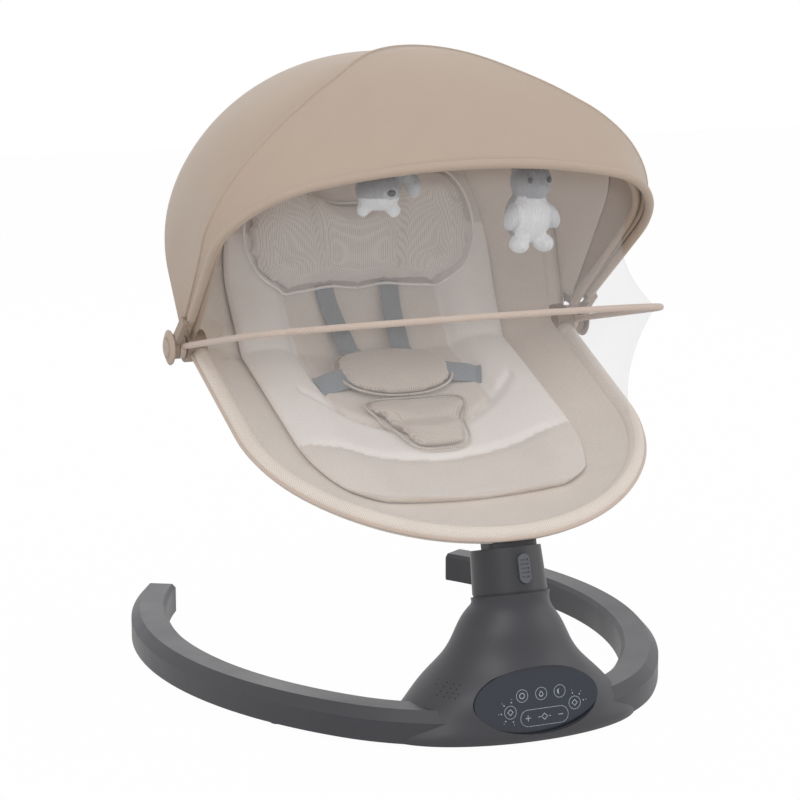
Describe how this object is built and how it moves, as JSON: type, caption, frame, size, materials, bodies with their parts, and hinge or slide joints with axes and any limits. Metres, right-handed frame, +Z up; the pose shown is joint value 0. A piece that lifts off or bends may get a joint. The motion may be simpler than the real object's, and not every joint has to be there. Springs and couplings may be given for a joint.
{
  "type": "baby swing",
  "caption": "Electric baby swing: a reclined cloth seat with hood, folding visor, net hoop and hanging soft toys sways on a leaning post over an open ring base.",
  "frame": {"origin": "on the floor at the middle of the outline", "axes": "X to the sitter's left and right, -Y to the front where the panel is, Z up"},
  "size_m": [0.526, 0.591, 0.6307],
  "materials": {
    "charcoal_plastic": "satin moulded",
    "dark_plastic": "moulded",
    "panel_gloss": "gloss",
    "board": "printed board",
    "button_plastic": "ribbed",
    "rubber": "matt",
    "steel": "brushed",
    "frame_paint": "powder coat",
    "copper": "enamelled winding",
    "canopy_cloth": "plain weave",
    "mesh_cloth": "spacer mesh",
    "liner_cloth": "soft knit",
    "pad_cloth": "soft knit",
    "webbing": "woven webbing",
    "net": "sheer net",
    "plush_grey": "plush",
    "plush_white": "plush"
  },
  "bodies": {
    "base": {"base_housing": "charcoal_plastic", "base_cover": "dark_plastic", "cover_screws": "steel", "control_panel": "panel_gloss", "control_board": "board", "speaker": "dark_plastic", "power_inlet": "dark_plastic", "rubber_feet": "rubber", "left_base_tube": "charcoal_plastic", "right_base_tube": "charcoal_plastic", "left_end_cap": "charcoal_plastic", "right_end_cap": "charcoal_plastic", "bearing_pedestal": "dark_plastic", "lower_bearing": "steel", "upper_bearing": "steel", "drive_coil": "copper", "coil_bracket": "dark_plastic"},
    "seat": {"swing_post": "steel", "magnet_arm": "dark_plastic", "drive_magnet": "steel", "seat_collar": "charcoal_plastic", "button_spring": "steel", "frame_saddle": "dark_plastic", "foot_frame": "frame_paint", "back_frame": "frame_paint", "left_hub": "dark_plastic", "right_hub": "dark_plastic", "left_hub_cap": "dark_plastic", "right_hub_cap": "dark_plastic", "seat_sling": "mesh_cloth", "seat_cushion": "liner_cloth", "head_pillow": "liner_cloth", "left_pillow_wing": "liner_cloth", "right_pillow_wing": "liner_cloth", "tummy_pad": "pad_cloth", "crotch_pad": "pad_cloth", "left_shoulder_strap": "webbing", "right_shoulder_strap": "webbing", "left_waist_strap": "webbing", "right_waist_strap": "webbing", "hood": "canopy_cloth", "hood_bow": "frame_paint", "upper_net": "net", "lower_net": "net"},
    "release_button": {"release_button": "button_plastic"},
    "visor": {"visor_bow": "frame_paint", "visor_cloth": "canopy_cloth"},
    "net_hoop": {"net_hoop": "frame_paint"},
    "left_toy": {"left_toy_head": "plush_grey", "left_toy_body": "plush_white", "left_toy_limbs": "plush_grey", "left_toy_ribbon": "webbing"},
    "right_toy": {"right_toy_head": "plush_grey", "right_toy_body": "plush_white", "right_toy_limbs": "plush_grey", "right_toy_ribbon": "webbing"}
  },
  "joints": [
    {"name": "seat_swing", "type": "hinge", "parent": "base", "child": "seat", "pos_m": [0, -0.22347, 0.13], "axis": [0, 0.2588, 0.9659], "range_deg": [-12, 12]},
    {"name": "button_press", "type": "slide", "parent": "seat", "child": "release_button", "axis": [0, 0.9659, -0.2588], "range_m": [0, 0.003], "stiffness_N_per_m": 800, "deforming": ["button_spring"]},
    {"name": "visor_fold", "type": "hinge", "parent": "seat", "child": "visor", "pos_m": [0, 0.07953, 0.337], "axis": [-1, 0, 0], "range_deg": [0, 60]},
    {"name": "hoop_tilt", "type": "hinge", "parent": "seat", "child": "net_hoop", "pos_m": [0, 0.07953, 0.337], "axis": [-1, 0, 0], "range_deg": [-28, 18], "deforming": ["upper_net", "lower_net"]},
    {"name": "left_toy_sway", "type": "hinge", "parent": "seat", "child": "left_toy", "pos_m": [-0.068, -0.098, 0.548], "axis": [0, 1, 0], "range_deg": [-25, 25]},
    {"name": "right_toy_sway", "type": "hinge", "parent": "seat", "child": "right_toy", "pos_m": [0.082, -0.098, 0.548], "axis": [0, 1, 0], "range_deg": [-25, 25]}
  ]
}
